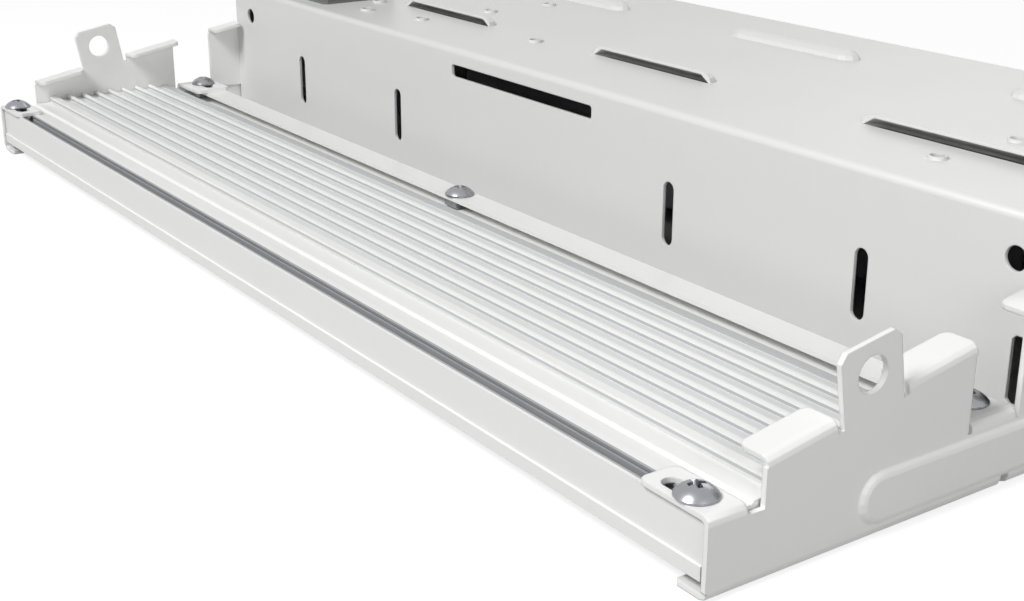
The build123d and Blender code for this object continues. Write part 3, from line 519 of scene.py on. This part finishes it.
places = [turnAndMove((end * sunkScrew["x"], side * sunkScrew["y"], sunkScrew["face"]), "X", 180, turn)
          for (end, side), turn in zip(corners, sunkScrew["turns"])]
placeCopies(makeSunkScrew(sunkScrew), "trayScrew", "tray_screws", places, "screw_zinc")
print("plate and tray screws made")

# the cable gland's dome nut
glandNut = {"across": 19.0, "length": 14.0, "edge": 0.5, "shoulder": 0.6, "dome": 3.4, "mouth": 0.4,
            "bore": 11.0, "ribs": 14, "ribDepth": 0.7, "arcRings": 6, "smooth": 25,
            "face": -270.0, "y": -60.0, "z": 95.6}


def makeGlandNut(spec):
    # a ribbed barrel, drawn in to a dome at its free end, with the cable hole right through it
    sidesPerRib = 4
    sides = spec["ribs"] * sidesPerRib
    outer, bore, edge, steps = spec["across"] / 2, spec["bore"] / 2, spec["edge"], spec["arcRings"]
    domeStart = spec["length"] - spec["dome"]
    mouth = bore + spec["mouth"]
    neck = outer - edge
    rings = [(neck, 0.0), (outer, edge), (outer, domeStart - spec["shoulder"]), (neck, domeStart)]
    for k in range(1, steps + 1):
        angle = math.radians(90 * k / steps)
        rings.append((mouth + (neck - mouth) * math.cos(angle), domeStart + spec["dome"] * math.sin(angle)))
    nut = ringStack("glandNut", rings, sides)

    def inGroove(at):
        # half of the sides on the full barrel: the others stay as ribs
        side = round(math.atan2(at.y, at.x) / (2 * math.pi) * sides)
        return math.hypot(at.x, at.y) > (outer - edge / 2) * mm and side % sidesPerRib < sidesPerRib / 2

    pickVertices(nut, inGroove)
    sunk = 1 - spec["ribDepth"] / outer
    bpy.ops.transform.resize(value=(sunk, sunk, 1), center_override=(0, 0, 0))
    bpy.ops.object.mode_set(mode="OBJECT")
    applyTool(nut, roundPunch(bore, 4 * spec["length"], (0, 0, 0), "Z"))
    smoothTurned(nut, spec["smooth"])
    return nut


place = turnAndMove((glandNut["face"], glandNut["y"], glandNut["z"]), "Y", -90, 0)
placeCopies(makeGlandNut(glandNut), "glandDomeNut", "gland_nut", [place], "gland_black")

# the soft bushes in the modules' lead holes
leadBush = {"collar": 7.8, "collarWidth": 1.5, "lip": 0.45, "lipShare": 0.3, "body": 4.9, "length": 3.5,
            "tip": 0.3, "hole": 2.6, "sides": 40, "smooth": 40, "x": 270.0, "faceY": 114.7, "z": 13.8}


def makeBush(spec):
    # a rounded collar on the wall's face and a body through the wall
    half, body, width = spec["collar"] / 2, spec["body"] / 2, spec["collarWidth"]
    lip, turn, tip = spec["lip"], spec["lip"] * spec["lipShare"], spec["tip"]
    rings = [(half - lip, 0.0), (half - turn, turn), (half, lip), (half, width - lip),
             (half - turn, width - turn), (half - lip, width), (body, width),
             (body, spec["length"] - tip), (body - tip, spec["length"])]
    bush = ringStack("leadBush", rings, spec["sides"])
    applyTool(bush, roundPunch(spec["hole"] / 2, 4 * spec["length"], (0, 0, 0), "Z"))
    smoothTurned(bush, spec["smooth"])
    return bush


for side, module in ((-1, "front"), (1, "rear")):
    place = turnAndMove((leadBush["x"], side * leadBush["faceY"], leadBush["z"]), "X", -side * 90, 0)
    placeCopies(makeBush(leadBush), f"leadBush_{module}", f"lead_grommet_{module}", [place],
                "grommet_rubber")
print("gland nut and bushes made")

# camera at the photograph's place, its focal length in pixels of a picture this many pixels wide
view = {"place": (568.19, -494.04, 221.04), "yaw": -55.028, "pitch": -20.030, "roll": 0.187,
        "focal": 1533.0, "pixels": 1024, "sensor": 36.0, "near": 10.0}


def setCamera(spec):
    yaw, pitch, roll = (math.radians(spec[k]) for k in ("yaw", "pitch", "roll"))
    forward = Vector((math.cos(pitch) * math.sin(yaw), math.cos(pitch) * math.cos(yaw), math.sin(pitch)))
    right = forward.cross(Vector((0, 0, 1))).normalized()
    up = right.cross(forward)
    tiltRight = right * math.cos(roll) + up * math.sin(roll)
    tiltUp = up * math.cos(roll) - right * math.sin(roll)
    data = bpy.data.cameras.new("photoCamera")
    data.sensor_width = spec["sensor"]
    data.lens = spec["focal"] / spec["pixels"] * spec["sensor"]
    data.clip_start = spec["near"] * mm
    camera = bpy.data.objects.new("photoCamera", data)
    camera.matrix_world = Matrix((
        (tiltRight.x, tiltUp.x, -forward.x, spec["place"][0] * mm),
        (tiltRight.y, tiltUp.y, -forward.y, spec["place"][1] * mm),
        (tiltRight.z, tiltUp.z, -forward.z, spec["place"][2] * mm),
        (0, 0, 0, 1)))
    bpy.context.scene.collection.objects.link(camera)
    bpy.context.scene.camera = camera


# white floor, world and lamps, in metres and watts
studio = {"floor": 6.0, "floorDrop": 0.0002, "floorGlow": 0.78, "floorColour": "#A0A0A0", "worldLight": 0.13,
          "aim": (0, 0, 0.05),
          "key": {"place": (0.2, -1.55, 1.55), "size": 0.9, "power": 34.5},
          "side": {"place": (0.82, -0.3, 0.3), "size": 0.4, "power": 1.3},
          "fill": {"place": (-0.7, 1.5, 1.1), "size": 1.4, "power": 5.0}}


def seenRay(tree):
    # 1 for what the camera sees, also in metal and through the lens, and 0 for the light on the object
    path = addNode(tree, "ShaderNodeLightPath")
    seen = path.outputs["Is Camera Ray"]
    for ray in ("Is Glossy Ray", "Is Transmission Ray"):
        seen = addNode(tree, "ShaderNodeMath", {0: seen, 1: path.outputs[ray]},
                       operation="MAXIMUM").outputs[0]
    return seen


def setStudio(spec):
    deselectAll()
    bpy.ops.mesh.primitive_plane_add(size=spec["floor"], location=(0, 0, -spec["floorDrop"]))
    floor = bpy.context.object
    floor.name = "floor"
    mat = bpy.data.materials.new("whiteStudioFloor")
    tree = emptyTree(mat)
    strength = addNode(tree, "ShaderNodeMath", {0: seenRay(tree), 1: spec["floorGlow"]},
                       operation="MULTIPLY")
    glow = addNode(tree, "ShaderNodeEmission", {"Color": (1, 1, 1, 1), "Strength": strength.outputs[0]})
    matt = addNode(tree, "ShaderNodeBsdfDiffuse", {"Color": linear(spec["floorColour"])})
    both = addNode(tree, "ShaderNodeAddShader", {0: glow.outputs[0], 1: matt.outputs[0]})
    addNode(tree, "ShaderNodeOutputMaterial", {"Surface": both.outputs[0]})
    floor.data.materials.append(mat)

    world = bpy.data.worlds.new("studioWorld")
    bpy.context.scene.world = world
    tree = emptyTree(world)
    strength = addNode(tree, "ShaderNodeMapRange", {"Value": seenRay(tree), "To Min": spec["worldLight"],
                                                    "To Max": 1.0})
    sky = addNode(tree, "ShaderNodeBackground", {"Color": (1, 1, 1, 1),
                                                 "Strength": strength.outputs["Result"]})
    addNode(tree, "ShaderNodeOutputWorld", {"Surface": sky.outputs[0]})

    for name in ("key", "side", "fill"):
        lamp = bpy.data.lights.new(name + "Lamp", "AREA")
        lamp.shape = "DISK"
        lamp.size = spec[name]["size"]
        lamp.energy = spec[name]["power"]
        piece = bpy.data.objects.new(name + "Lamp", lamp)
        place = Vector(spec[name]["place"])
        facing = (Vector(spec["aim"]) - place).to_track_quat("-Z", "Y").to_matrix().to_4x4()
        piece.matrix_world = Matrix.Translation(place) @ facing
        bpy.context.scene.collection.objects.link(piece)


setCamera(view)
setStudio(studio)
bpy.context.scene.view_settings.view_transform = "Standard"
print("camera and studio set")
